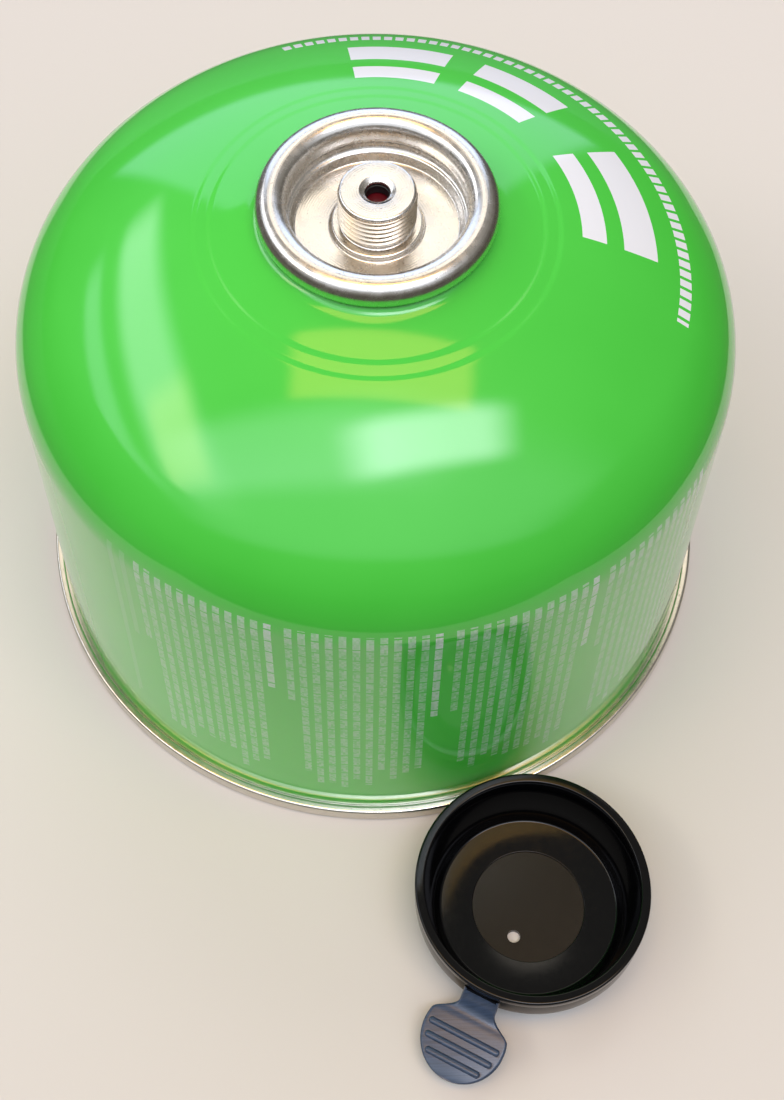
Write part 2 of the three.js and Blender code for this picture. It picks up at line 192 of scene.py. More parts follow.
def finished(name, bm, sharp=40):
    """An object from a bmesh, smooth apart from its sharp edges."""
    for face in bm.faces:
        face.smooth = True
    for edge in bm.edges:
        edge.smooth = edge.calc_face_angle(0) < radians(sharp)
    mesh = bpy.data.meshes.new(name)
    bm.to_mesh(mesh)
    bm.free()
    made = bpy.data.objects.new(name, mesh)
    bpy.context.scene.collection.objects.link(made)
    return made


drawn_body = turned("drawn_body", body_profile, closed=False, sheet=body_sheet)


def linear(hex_colour):
    """The linear colour of an sRGB hex value."""
    parts = [int(hex_colour[i : i + 2], 16) / 255 for i in (1, 3, 5)]
    return [p / 12.92 if p <= 0.04045 else ((p + 0.055) / 1.055) ** 2.4 for p in parts] + [1.0]


def add(tree, kind, inputs=None, **settings):
    """Adds a node, and sets or links its inputs. A node given as an input stands for its output."""
    made = tree.nodes.new(kind)
    for name, value in settings.items():
        setattr(made, name, value)
    for key, value in (inputs or {}).items():
        if isinstance(value, bpy.types.Node):
            value = next(socket for socket in value.outputs if socket.enabled)
        if isinstance(value, bpy.types.NodeSocket):
            tree.links.new(value, made.inputs[key])
        else:
            made.inputs[key].default_value = value
    return made


def new_material(name):
    """An empty material and its node tree."""
    material = bpy.data.materials.new(name)
    material.use_nodes = True
    material.node_tree.nodes.clear()
    return material, material.node_tree


# Where the white print lies: pairs of curved bars on the dome, a ring of dashes outside them,
# and columns of small marks in four groups down the wall. Angles are in degrees from +X.
bar_spans = (-1.5, 29.0, 44.5, 66.0, 73.5, 97.0)
bar_bands = (29.0, 32.6, 35.2, 40.3)
dash_span = (-13.0, 110.0)
dash_band = (43.7, 45.5)
dash_pitch = 2.3
dash_share = 0.7
print_floor = 64.0
column_start = -127.9
column_pitch = 2.0
column_share = 0.56
columns_per_group = 12
groups = 4
group_pitch = 25.1
faint_columns = (-133.4, -132.3, -130.8, -129.7)
faint_tone = 0.1
column_top = 62.6
column_foot = 9.0
column_rag = 8.0
short_column_rise = 26.0
mark_pitch = 0.42
marks_across = 5.5
mark_tone = 0.1
mark_contrast = 0.28
bold_tone = 0.25
top_highlight_tone = 0.16
highlight_band = 4.0
word_pitch = 3.4
word_share = 0.9
word_shift = 7.0

lacquer, tree = new_material("stoved_green_lacquer")
place = add(tree, "ShaderNodeTexCoord").outputs["Object"]
centring = {"Vector": place, "Location": (-axis_x / MM, -axis_y / MM, 0), "Scale": (1 / MM,) * 3}
centred = add(tree, "ShaderNodeMapping", centring).outputs[0]
across, deep, height = add(tree, "ShaderNodeSeparateXYZ", {0: centred}).outputs
bearing = add(tree, "ShaderNodeMath", {0: deep, 1: across}, operation="ARCTAN2")
angle = add(tree, "ShaderNodeMath", {0: bearing, 1: 180 / pi}, operation="MULTIPLY")
flat = add(tree, "ShaderNodeMapping", {"Vector": centred, "Scale": (1, 1, 0)})
from_axis = add(tree, "ShaderNodeVectorMath", {0: flat}, operation="LENGTH").outputs["Value"]


def between(value, edges):
    """1 inside each pair of edges and 0 outside, read along a value."""
    inside = None
    for low, high in zip(edges[::2], edges[1::2]):
        past = add(tree, "ShaderNodeMath", {0: value, 1: low}, operation="GREATER_THAN")
        short = add(tree, "ShaderNodeMath", {0: value, 1: high}, operation="LESS_THAN")
        pair = add(tree, "ShaderNodeMath", {0: past, 1: short}, operation="MULTIPLY")
        inside = add(tree, "ShaderNodeMath", {0: inside or 0.0, 1: pair}, operation="MAXIMUM")
    return inside


def product(*values):
    """Several masks multiplied."""
    result = values[0]
    for value in values[1:]:
        result = add(tree, "ShaderNodeMath", {0: result, 1: value}, operation="MULTIPLY")
    return result


# Bars and dashes on the dome
on_dome = add(tree, "ShaderNodeMath", {0: height, 1: print_floor}, operation="GREATER_THAN")
bars = product(between(angle, bar_spans), between(from_axis, bar_bands))
dash_place = add(tree, "ShaderNodeMath", {0: angle, 1: dash_pitch}, operation="DIVIDE")
dash_step = add(tree, "ShaderNodeMath", {0: dash_place}, operation="FRACT")
dash = add(tree, "ShaderNodeMath", {0: dash_step, 1: dash_share}, operation="LESS_THAN")
dashes = product(dash, between(angle, dash_span), between(from_axis, dash_band))
dome_print = add(tree, "ShaderNodeMath", {0: bars, 1: dashes}, operation="MAXIMUM")
dome_print = product(dome_print, on_dome)

# Columns of marks on the wall
from_start = add(tree, "ShaderNodeMath", {0: angle, 1: column_start}, operation="SUBTRACT")
group_place = add(tree, "ShaderNodeMath", {0: from_start, 1: group_pitch}, operation="DIVIDE")
group = add(tree, "ShaderNodeMath", {0: group_place}, operation="FLOOR")
in_group = add(tree, "ShaderNodeMath", {0: from_start, 1: group_pitch}, operation="FLOORED_MODULO")
column_place = add(tree, "ShaderNodeMath", {0: in_group, 1: column_pitch}, operation="DIVIDE")
column = add(tree, "ShaderNodeMath", {0: column_place}, operation="FLOOR")
column_step = add(tree, "ShaderNodeMath", {0: column_place}, operation="FRACT")
in_column = product(
    add(tree, "ShaderNodeMath", {0: column_step, 1: column_share}, operation="LESS_THAN"),
    add(tree, "ShaderNodeMath", {0: column, 1: columns_per_group - 0.5}, operation="LESS_THAN"),
)
is_end = add(tree, "ShaderNodeMath", {0: column, 1: columns_per_group - 1.5}, operation="GREATER_THAN")
is_start = add(tree, "ShaderNodeMath", {0: column, 1: 0.5}, operation="LESS_THAN")
is_short = add(tree, "ShaderNodeMath", {0: is_start, 1: is_end}, operation="MAXIMUM")
identity = add(tree, "ShaderNodeCombineXYZ", {0: group, 1: column})
rag = add(tree, "ShaderNodeTexWhiteNoise", {"Vector": identity}, noise_dimensions="3D")
foot = add(tree, "ShaderNodeMath", {0: rag, 1: column_rag, 2: column_foot}, operation="MULTIPLY_ADD")
foot = add(tree, "ShaderNodeMath", {0: is_short, 1: short_column_rise, 2: foot}, operation="MULTIPLY_ADD")
in_height = product(
    add(tree, "ShaderNodeMath", {0: height, 1: column_top}, operation="LESS_THAN"),
    add(tree, "ShaderNodeMath", {0: height, 1: foot}, operation="GREATER_THAN"),
)
mark_place = add(tree, "ShaderNodeMath", {0: height, 1: mark_pitch}, operation="DIVIDE")
mark = add(tree, "ShaderNodeMath", {0: mark_place}, operation="FLOOR")
sub_place = add(tree, "ShaderNodeMath", {0: column_place, 1: marks_across}, operation="MULTIPLY")
sub_column = add(tree, "ShaderNodeMath", {0: sub_place}, operation="FLOOR")
cell = add(tree, "ShaderNodeCombineXYZ", {0: group, 1: sub_column, 2: mark})
chance = add(tree, "ShaderNodeTexWhiteNoise", {"Vector": cell}, noise_dimensions="3D")
tone = add(tree, "ShaderNodeMath", {0: chance, 1: mark_contrast, 2: mark_tone}, operation="MULTIPLY_ADD")
tone = add(tree, "ShaderNodeMath", {0: is_end, 1: bold_tone, 2: tone}, operation="MULTIPLY_ADD")
# The top band of each column, on the shoulder, is inked whiter: a painted highlight where the shoulder
# faces the light above instead of reflecting the table.
in_highlight_band = add(tree, "ShaderNodeMath", {0: height, 1: column_top - highlight_band}, operation="GREATER_THAN")
tone = add(tree, "ShaderNodeMath", {0: in_highlight_band, 1: top_highlight_tone, 2: tone}, operation="MULTIPLY_ADD")
word_place = add(tree, "ShaderNodeMath", {0: height, 1: word_pitch}, operation="DIVIDE")
word_place = add(tree, "ShaderNodeMath", {0: rag, 1: word_shift, 2: word_place}, operation="MULTIPLY_ADD")
word_step = add(tree, "ShaderNodeMath", {0: word_place}, operation="FRACT")
in_word = add(tree, "ShaderNodeMath", {0: word_step, 1: word_share}, operation="LESS_THAN")
wall_print = product(in_column, between(group_place, (0, groups)), in_height, in_word, tone)
faint = product(between(angle, faint_columns), in_height, faint_tone)
wall_print = add(tree, "ShaderNodeMath", {0: wall_print, 1: faint}, operation="MAXIMUM")
white = add(tree, "ShaderNodeMath", {0: dome_print, 1: wall_print}, operation="MAXIMUM")

# Stoving lacquer over tinplate, rolled on and baked: an even, saturated green under a hard gloss
# with a very slight orange peel. The white ink lies under the same gloss.
cloud = add(tree, "ShaderNodeTexNoise", {"Vector": centred, "Scale": 0.045, "Detail": 2.0})
greens = {0: cloud, 6: linear("#42c23a"), 7: linear("#4dcc45")}
green = add(tree, "ShaderNodeMix", greens, data_type="RGBA").outputs[2]
inks = {0: white, 6: green, 7: linear("#e4e8ec")}
colour = add(tree, "ShaderNodeMix", inks, data_type="RGBA").outputs[2]
peel = add(tree, "ShaderNodeTexNoise", {"Vector": centred, "Scale": 0.5, "Detail": 1.0})
peel_bump = add(tree, "ShaderNodeBump", {"Height": peel, "Strength": 0.05, "Distance": 0.02 * MM})
surface = add(
    tree,
    "ShaderNodeBsdfPrincipled",
    {
        "Base Color": colour,
        "Roughness": 0.4,
        "Specular IOR Level": 0.1,
        "Coat Weight": 1.0,
        "Coat Roughness": 0.07,
        "Coat IOR": 1.5,
        "Coat Normal": peel_bump,
    },
)
add(tree, "ShaderNodeOutputMaterial", {"Surface": surface})
drawn_body.data.materials.append(lacquer)
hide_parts("can_body")
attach(drawn_body, "canister")


# Bottom end
# A bare tinplate panel, domed inward against the pressure. Its rim and the body's edge are folded
# together into the double seam that the canister stands on. A fine groove lies between the seam's
# top and the wall.
seam_radius = wall_radius + 1.7
seam_height = 2.9
end_sheet = 0.4
chuck_outer = wall_radius - body_sheet - 0.1
seam_inner = chuck_outer - end_sheet
chuck_height = seam_height + 1.4
panel_radius = seam_inner - 2.4
panel_rise = 6.3
groove_width = 0.45
groove_floor = 2.25
groove_round = 0.15
seam_top_round = 0.45
seam_foot_round = 0.5
panel_round = 0.7


def panel(rim_height):
    """The inward dome of the bottom panel, from the axis to its rim."""
    radius = (panel_radius**2 + panel_rise**2) / (2 * panel_rise)
    rim_angle = degrees(acos(panel_radius / radius))
    return arc((0, rim_height + panel_rise - radius), radius, 90, rim_angle, 16)


panel_under = chuck_height - end_sheet
foot = seam_foot_round
seam = panel(panel_under)
seam += arc((seam_inner - panel_round, panel_under - panel_round), panel_round, 90, 0, 8)
seam += arc((seam_inner + foot, foot), foot, 180, 270, 8)
seam += arc((seam_radius - foot, foot), foot, 270, 360, 8)
seam += arc((seam_radius - seam_top_round, seam_height - seam_top_round), seam_top_round, 0, 90, 10)
groove_outer = wall_radius + groove_width
seam += arc((groove_outer + groove_round, seam_height - groove_round), groove_round, 90, 180, 4)
seam += [(groove_outer, groove_floor), (chuck_outer, groove_floor)]
seam += arc((chuck_outer - panel_round, chuck_height - panel_round), panel_round, 0, 90, 6)
seam += panel(chuck_height)[::-1]
bottom_end = turned("bottom_end", seam, closed=False)


def tinplate(name, light, dark, ring_pitch, roughness):
    """Steel under bright tin. Drawing leaves fine rings round the axis, and wear a few dark specks."""
    material, tree = new_material(name)
    place = add(tree, "ShaderNodeTexCoord").outputs["Object"]
    centring = {"Vector": place, "Location": (-axis_x / MM, -axis_y / MM, 0), "Scale": (1 / MM,) * 3}
    centred = add(tree, "ShaderNodeMapping", centring)
    ringing = {"Vector": centred, "Scale": pi / (10 * ring_pitch), "Distortion": 1.5, "Detail": 3.0}
    rings = add(tree, "ShaderNodeTexWave", ringing, wave_type="RINGS", rings_direction="Z")
    mottle = add(tree, "ShaderNodeTexNoise", {"Vector": centred, "Scale": 0.7, "Detail": 4.0})
    speckle = add(tree, "ShaderNodeTexNoise", {"Vector": centred, "Scale": 2.6, "Detail": 3.0})
    specks = add(tree, "ShaderNodeMapRange", {"Value": speckle, 1: 0.66, 2: 0.74, 3: 0.0, 4: 0.6})
    tones = {0: mottle, 6: linear(dark), 7: linear(light)}
    tin = add(tree, "ShaderNodeMix", tones, data_type="RGBA").outputs[2]
    speckled = {0: specks, 6: tin, 7: linear("#6d665e")}
    colour = add(tree, "ShaderNodeMix", speckled, data_type="RGBA").outputs[2]
    roughening = {"Value": mottle, 1: 0.3, 2: 0.7, 3: roughness * 0.8, 4: roughness * 1.2}
    rough = add(tree, "ShaderNodeMapRange", roughening)
    bump = add(tree, "ShaderNodeBump", {"Height": rings, "Strength": 0.12, "Distance": 0.03 * MM})
    metal = {"Base Color": colour, "Metallic": 1.0, "Roughness": rough, "Normal": bump}
    surface = add(tree, "ShaderNodeBsdfPrincipled", metal)
    add(tree, "ShaderNodeOutputMaterial", {"Surface": surface})
    return material


bottom_end.data.materials.append(tinplate("rolled_tinplate", "#dedad0", "#c4bfb2", 0.5, 0.22))
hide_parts("base_end")
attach(bottom_end, "canister")


# Valve cup
# A tinplate pressing: the curled collar that is crimped over the body's bead, a wall with the
# crimp pressed out below the bead, a flat floor, and the neck that a stove screws onto.
cup_sheet = 0.4
curl_tuck = 32
floor_drop = 4.54
neck_rise = 3.16
foot_radius = 6.56
thread_radius = 5.556
thread_core = 5.05
neck_bore = thread_radius - 1.056
neck_wall = 0.8
cup_back = 11.3
hole_radius = 1.75
hole_chamfer = 0.85
neck_top = curl_centre[1] + neck_rise
cup_floor = curl_centre[1] - floor_drop
inner_wall = collar_radius - 2 * curl_radius


def in_cup(beyond_wall, drop):
    """A point of the cup, from how far it is beyond the cup's wall and below the curl's middle."""
    return (inner_wall + beyond_wall, curl_centre[1] - drop)


# The cup's face: curl, step into the crimp, crimp, ledge, and the corner of the floor
cup = arc(curl_centre, curl_radius, -curl_tuck, 180, 48)
cup += [in_cup(0.05, 0.9)]
cup += arc(in_cup(0.25, 1.25), 0.22, 150, 210, 5)
cup += [in_cup(0.3, 1.75), in_cup(0.52, 2.2), in_cup(0.5, 2.6), in_cup(0.15, 3.05)]
cup += arc(in_cup(-0.05, 3.6), 0.42, 95, 175, 8)
cup += arc(in_cup(-1.14, 4.2), 0.34, 0, -90, 8)
cup += [in_cup(-4.0, floor_drop)]
# The neck: foot, root of the thread, round top, and the chamfered hole
cup += arc((foot_radius + 0.35, cup_floor + 0.35), 0.35, 270, 180, 6)
cup += arc((foot_radius - 0.4, cup_floor + 0.55), 0.4, 0, 90, 8)
cup += arc((thread_core + 0.4, cup_floor + 1.35), 0.4, 270, 180, 6)
cup += [(thread_core, neck_top - 1.1), (thread_radius - 0.1, neck_top - 0.75)]
cup += arc((thread_radius - 0.6, neck_top - 0.5), 0.5, 0, 90, 10)
cup += arc((hole_radius + hole_chamfer, neck_top - 0.12), 0.12, 90, 150, 4)
cup += arc((hole_radius + 0.25, neck_top - 0.6), 0.25, 120, 180, 6)
cup += [(hole_radius, neck_top - neck_wall), (neck_bore, neck_top - neck_wall)]
# The cup's back
cup += [(neck_bore, cup_floor - cup_sheet), (cup_back, cup_floor - cup_sheet)]
cup += [in_cup(-0.5, 4.35), in_cup(0.15, 3.7), in_cup(0.7, 3.1), in_cup(0.92, 2.4)]
cup += [in_cup(0.7, 1.7), in_cup(0.45, 1.0)]
cup += arc(curl_centre, curl_radius - cup_sheet, 180, -curl_tuck, 36)
valve_cup = turned("valve_cup_pressing", cup)
drawn_tinplate = tinplate("drawn_tinplate", "#efebe5", "#dad5cc", 0.35, 0.26)
valve_cup.data.materials.append(drawn_tinplate)
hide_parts("valve_cup")
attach(valve_cup, "canister")


# Neck thread
# The thread of 28 turns to the inch is rolled into the neck. It is one ridge wound round its core.
thread_pitch = 25.4 / 28
thread_turns = 6
thread_bottom = cup_floor + 1.65
thread_sink = 0.05
thread_steps = 64
thread_half = 0.42 * thread_pitch
thread_flat = 0.07 * thread_pitch
ridge = [(thread_core - thread_sink, -thread_half), (thread_radius, -thread_flat)]
ridge += [(thread_radius, thread_flat), (thread_core - thread_sink, thread_half)]

thread = bmesh.new()
start = [thread.verts.new((axis_x + r * MM, axis_y, (thread_bottom + z) * MM)) for r, z in ridge]
start_loop = [thread.edges.new((start[i - 1], start[i])) for i in range(len(start))]
wound = bmesh.ops.spin(
    thread,
    geom=start + start_loop,
    cent=(axis_x, axis_y, 0),
    axis=(0, 0, 1),
    dvec=(0, 0, thread_pitch / thread_steps * MM),
    angle=2 * pi * thread_turns,
    steps=thread_steps * thread_turns,
    use_merge=False,
    use_duplicate=False,
)
end_loop = [item for item in wound["geom_last"] if isinstance(item, bmesh.types.BMEdge)]
for loop in (start_loop, end_loop):
    bmesh.ops.contextual_create(thread, geom=loop)
bmesh.ops.recalc_face_normals(thread, faces=thread.faces[:])
neck_thread = finished("neck_thread", thread, 30)
neck_thread.data.materials.append(tinplate("worn_thread", "#cfc3b0", "#b2a58f", 0.35, 0.3))
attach(neck_thread, "canister")


# Neck washer
# A black nitrile rubber washer lies under the neck's roof, and its inner edge shows in the hole.
inner_fit = 0.3
washer_thickness = 1.5
washer_top = neck_top - neck_wall - inner_fit
washer_bottom = washer_top - washer_thickness
washer_hole = 1.6
washer_outer = neck_bore - inner_fit
washer_round = 0.12

washer = [(washer_outer, washer_bottom), (washer_outer, washer_top)]
washer += arc((washer_hole + washer_round, washer_top - washer_round), washer_round, 90, 180, 4)
washer += arc((washer_hole + washer_round, washer_bottom + washer_round), washer_round, 180, 270, 4)
neck_washer = turned("neck_washer", washer, steps=96)


def moulded(name, light, dark, roughness, grain_mm):
    """A moulded rubber or plastic: one colour with a slight unevenness and a fine grain."""
    material, tree = new_material(name)
    place = add(tree, "ShaderNodeTexCoord").outputs["Object"]
    graining = {"Vector": place, "Scale": 1 / (grain_mm * MM), "Detail": 3.0}
    grain = add(tree, "ShaderNodeTexNoise", graining)
    tones = {0: grain, 6: linear(dark), 7: linear(light)}
    colour = add(tree, "ShaderNodeMix", tones, data_type="RGBA").outputs[2]
    bump = add(tree, "ShaderNodeBump", {"Height": grain, "Strength": 0.12, "Distance": 0.05 * MM})
    plastic = {"Base Color": colour, "Roughness": roughness, "Normal": bump}
    surface = add(tree, "ShaderNodeBsdfPrincipled", plastic)
    add(tree, "ShaderNodeOutputMaterial", {"Surface": surface})
    return material


nitrile = moulded("nitrile_rubber", "#141416", "#0a0a0b", 0.45, 0.4)
neck_washer.data.materials.append(nitrile)
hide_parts("neck_gasket")
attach(neck_washer, "canister")


# Valve stem
# A dark red acetal stem. Its sealing head is sprung up against the washer and shows in the hole.
stem_gap = 0.15
stem_top = washer_bottom - stem_gap
housing_wall = 0.5
head_radius = neck_bore - 2 * inner_fit - housing_wall
head_thickness = 1.2
head_flat = 2.0
head_dip = 0.05
shaft_radius = 1.3
shaft_length = 7.0
shaft_chamfer = 0.6
head_crown = 0.2

head_under = stem_top - head_thickness
shaft_end = head_under - shaft_length
stem = [(0, stem_top), (head_flat, stem_top - head_dip)]
stem += [(head_radius - head_crown, stem_top - head_crown)]
stem += [(head_radius, stem_top - 2 * head_crown), (head_radius, head_under)]
stem += [(shaft_radius, head_under), (shaft_radius, shaft_end + shaft_chamfer)]
stem += [(shaft_radius - shaft_chamfer, shaft_end), (0, shaft_end)]
valve_stem = turned("valve_stem_head", stem, steps=96, closed=False)
valve_stem.data.materials.append(moulded("red_acetal", "#65111a", "#4d0a12", 0.3, 0.6))
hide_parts("valve_stem")
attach(valve_stem, "stem")


# Hidden valve pieces
# The ring gasket under the collar, the moulded housing and the steel spring keep their solids.
hidden = (
    ("cup_gasket", nitrile),
    ("valve_housing", moulded("natural_acetal", "#dedacd", "#cfcabb", 0.4, 0.8)),
    ("valve_spring", tinplate("drawn_spring_wire", "#c9c9c9", "#b0b0b0", 0.3, 0.25)),
)
for name, material in hidden:
    nodes[name].data.materials.clear()
    nodes[name].data.materials.append(material)


# Cap
# One moulding in black polyethylene, lying open side up: a crown, a flared flank, a skirt that
# slips over the collar and snaps under it with a lip, and a pull tab with three grip ribs.
cap_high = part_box("cap")[1]
skirt_wall = 0.75
skirt_inner = collar_radius + 0.05
skirt_outer = skirt_inner + skirt_wall
flange = skirt_outer + 0.13
cap_shift = 0.02
cap_x = cap_high.x / MM - flange
cap_y = cap_high.y / MM - flange + cap_shift
cap_turn = radians(243.3)
cap_height = 11.0
lip = 16.5
skirt_start = 5.5
crown_outer = 14.3
floor_edge = 13.75
floor_top = 1.2
disc_radius = 8.75
disc_depth = 0.25
vent_radius = 1.0
vent_offset = 5.3
vent_depth = 6.0

# Outside, from the table up: crown, flank, skirt, groove and flange
cap_profile = [(0, 0), (crown_outer - 0.8, 0)]
cap_profile += arc((crown_outer - 0.5, 0.8), 0.8, 270, 325, 6)
cap_profile += [(15.9, 2.6), (17.2, 4.7)]
cap_profile += arc((skirt_outer - 1.2, 5.9), 1.2, 330, 360, 6)
cap_profile += arc((skirt_outer - 0.15, 9.05), 0.15, 0, 90, 4)
cap_profile += [(skirt_outer - 0.35, 9.28), (skirt_outer - 0.35, 9.5)]
cap_profile += arc((flange - 0.15, 9.7), 0.15, 270, 360, 4)
cap_profile += arc((flange - 0.35, cap_height - 0.35), 0.35, 0, 90, 8)
# Inside, from the rim down: snap lip, skirt, step, flank, floor and sunk disc
cap_profile += arc((lip + 0.3, cap_height - 0.3), 0.3, 90, 180, 8)
cap_profile += arc((lip + 0.45, cap_height - 0.75), 0.45, 180, 215, 4)
cap_profile += [(skirt_inner - 0.02, cap_height - 1.5)]
cap_profile += arc((skirt_inner - 0.5, skirt_start + 0.35), 0.5, 0, -50, 5)
cap_profile += [(15.6, 3.55), (15.35, 3.4), (14.6, 2.35)]
cap_profile += arc((floor_edge - 0.2, floor_top + 0.5), 0.5, -30, -90, 6)
cap_profile += arc((disc_radius + 0.1, floor_top - 0.1), 0.1, 90, 180, 4)
cap_profile += [(disc_radius - 0.04, floor_top - disc_depth), (0, floor_top - disc_depth)]
cap_centre = (cap_x * MM, cap_y * MM)
pull_tab_cap = turned("pull_tab_cap", cap_profile, centre=cap_centre, closed=False)


def cap_place(reach, side, height):
    """A point of the cap from its distance along the tab, its distance beside it, and its height."""
    x = cap_x + reach * cos(cap_turn) - side * sin(cap_turn)
    y = cap_y + reach * sin(cap_turn) + side * cos(cap_turn)
    return Vector((x, y, height)) * MM


def boolean(target, tool, operation):
    """Joins a tool to a piece or cuts it out, and removes the tool."""
    modifier = target.modifiers.new("cut", "BOOLEAN")
    modifier.operation = operation
    modifier.object = tool
    modifier.solver = "EXACT"
    with bpy.context.temp_override(object=target, active_object=target):
        bpy.ops.object.modifier_apply(modifier=modifier.name)
    bpy.data.objects.remove(tool)


vent = bmesh.new()
bmesh.ops.create_cone(
    vent,
    cap_ends=True,
    segments=48,
    radius1=vent_radius * MM,
    radius2=vent_radius * MM,
    depth=vent_depth * MM,
    matrix=Matrix.Translation(cap_place(vent_offset, 0, 0)),
)
boolean(pull_tab_cap, finished("vent_tool", vent), "DIFFERENCE")

# The pull tab drops off the skirt, bends out, and flares into a round paddle
tab_root_height = 8.4
tab_neck = 2.9
tab_bend = (20.9, 4.7)
tab_bend_length = 2.2
tab_tip_height = 2.9
tab_half_thickness = 0.45
tab_edge = 0.45
tab_edge_steps = 8
paddle_radius = 6.5
paddle_centre = 23.5
flare_start, flare_end = 18.9, 21.6
ribs = 3
rib_pitch = 1.98
first_rib = 23.45
rib_width, rib_height = 0.55, 0.42
rib_margin = 0.7

paddle_slope = (tab_tip_height - tab_bend[1]) / (paddle_centre + paddle_radius - tab_bend[0])


def on_paddle(reach):
    """The middle of the paddle's thickness, which falls in a straight line to the tip."""
    return (reach, tab_bend[1] + (reach - tab_bend[0]) * paddle_slope)


def tab_half_width(reach):
    """Half the tab's width: the neck, a hollow flare, and then the paddle's circle."""
    circle = sqrt(max(paddle_radius**2 - (reach - paddle_centre) ** 2, 0))
    flare = ease(reach, flare_start, flare_end)
    return tab_neck + (circle - tab_neck) * flare


tab_root = (skirt_inner + skirt_wall / 2, tab_root_height)
bend_corner = on_paddle(tab_bend[0] - tab_bend_length)
stations = []
bend_steps = 16
tab_guides = (tab_root, bend_corner, tab_bend)
legs = [(b[0] - a[0], b[1] - a[1]) for a, b in zip(tab_guides, tab_guides[1:])]
for i in range(bend_steps):
    share = i / bend_steps
    along = [(1 - share) * legs[0][k] + share * legs[1][k] for k in (0, 1)]
    stations.append((on_bend(tab_guides, share), along))
last_reach = paddle_centre + sqrt(paddle_radius**2 - tab_edge**2)
paddle_steps = 56
for i in range(paddle_steps + 1):
    reach = tab_bend[0] + (last_reach - tab_bend[0]) * sin(i / paddle_steps * pi / 2)
    stations.append((on_paddle(reach), (1, paddle_slope)))

tab = bmesh.new()
loops = []
for middle, along in stations:
    lift = Vector((-along[1], along[0])).normalized() * tab_half_thickness
    flat = tab_half_width(middle[0]) - tab_edge
    ring = []
    for way in (1, -1):
        for j in range(tab_edge_steps + 1):
            a = radians(way * (-90 + 180 * j / tab_edge_steps))
            beside = way * (flat + tab_edge * cos(a))
            above_table = middle[1] + lift.y * sin(a)
            ring.append(tab.verts.new(cap_place(middle[0] + lift.x * sin(a), beside, above_table)))
    loops.append([tab.edges.new((ring[k - 1], ring[k])) for k in range(len(ring))])
for here, after in zip(loops, loops[1:]):
    bmesh.ops.bridge_loops(tab, edges=here + after)
for end in (loops[0], loops[-1]):
    bmesh.ops.contextual_create(tab, geom=end)
bmesh.ops.recalc_face_normals(tab, faces=tab.faces[:])
boolean(pull_tab_cap, finished("tab_tool", tab), "UNION")

for i in range(ribs):
    reach = first_rib + i * rib_pitch
    half = (tab_half_width(reach) - rib_margin - rib_width) * MM
    rib = bmesh.new()
    bmesh.ops.create_uvsphere(rib, u_segments=24, v_segments=16, radius=MM)
    bmesh.ops.scale(rib, vec=(rib_width, rib_width, rib_height), verts=rib.verts[:])
    for way in (1, -1):
        end = [v for v in rib.verts if v.co.x * way > 1e-9]
        bmesh.ops.translate(rib, verts=end, vec=(way * half, 0, 0))
    top = cap_place(reach, 0, on_paddle(reach)[1] + tab_half_thickness)
    across_tab = Matrix.Rotation(cap_turn + pi / 2, 4, "Z")
    bmesh.ops.transform(rib, matrix=Matrix.Translation(top) @ across_tab, verts=rib.verts[:])
    boolean(pull_tab_cap, finished("rib_tool", rib), "UNION")

# Low-density polyethylene, injection moulded in a polished tool: black with a high gloss. The disc in
# its floor is satin.
polyethylene, tree = new_material("black_polyethylene")
place = add(tree, "ShaderNodeTexCoord").outputs["Object"]
centring = {"Vector": place, "Location": (-cap_x, -cap_y, 0), "Scale": (1 / MM,) * 3}
centred = add(tree, "ShaderNodeMapping", centring)
flat = add(tree, "ShaderNodeMapping", {"Vector": centred, "Scale": (1, 1, 0)})
from_axis = add(tree, "ShaderNodeVectorMath", {0: flat}, operation="LENGTH").outputs["Value"]
on_disc = add(tree, "ShaderNodeMath", {0: from_axis, 1: disc_radius}, operation="LESS_THAN")
scuffing = {"Vector": centred, "Scale": 0.8, "Detail": 6.0, "Roughness": 0.7}
scuff = add(tree, "ShaderNodeTexNoise", scuffing)
gloss = add(tree, "ShaderNodeMapRange", {"Value": scuff, 1: 0.3, 2: 0.7, 3: 0.07, 4: 0.14})
rough = add(tree, "ShaderNodeMath", {0: on_disc, 1: 0.22, 2: gloss}, operation="MULTIPLY_ADD")
tones = {0: scuff, 6: linear("#020203"), 7: linear("#060607")}
black = add(tree, "ShaderNodeMix", tones, data_type="RGBA").outputs[2]
colours = {0: on_disc, 6: black, 7: linear("#15110d")}
colour = add(tree, "ShaderNodeMix", colours, data_type="RGBA").outputs[2]
glossy = {"Base Color": colour, "Roughness": rough, "Specular IOR Level": 0.32}
surface = add(tree, "ShaderNodeBsdfPrincipled", glossy)
add(tree, "ShaderNodeOutputMaterial", {"Surface": surface})

# The same plastic on the tab, greyed by handling, with fine scratches across it. Its bluish grey is
# partly a painted sheen of the cool light from above.
scuffed_sheen, tree = new_material("scuffed_sheen_polyethylene")
place = add(tree, "ShaderNodeTexCoord").outputs["Object"]
scratching = {"Vector": place, "Rotation": (0, 0, radians(-8)), "Scale": (160, 4200, 800)}
stretched = add(tree, "ShaderNodeMapping", scratching)
scratches = add(tree, "ShaderNodeTexNoise", {"Vector": stretched, "Scale": 1.0, "Detail": 4.0})
tones = {0: scratches, 6: linear("#1b2533"), 7: linear("#41536e")}
colour = add(tree, "ShaderNodeMix", tones, data_type="RGBA").outputs[2]
bump = add(tree, "ShaderNodeBump", {"Height": scratches, "Strength": 0.3, "Distance": 0.02 * MM})
worn = {"Base Color": colour, "Roughness": 0.27, "Normal": bump}
surface = add(tree, "ShaderNodeBsdfPrincipled", worn)
add(tree, "ShaderNodeOutputMaterial", {"Surface": surface})

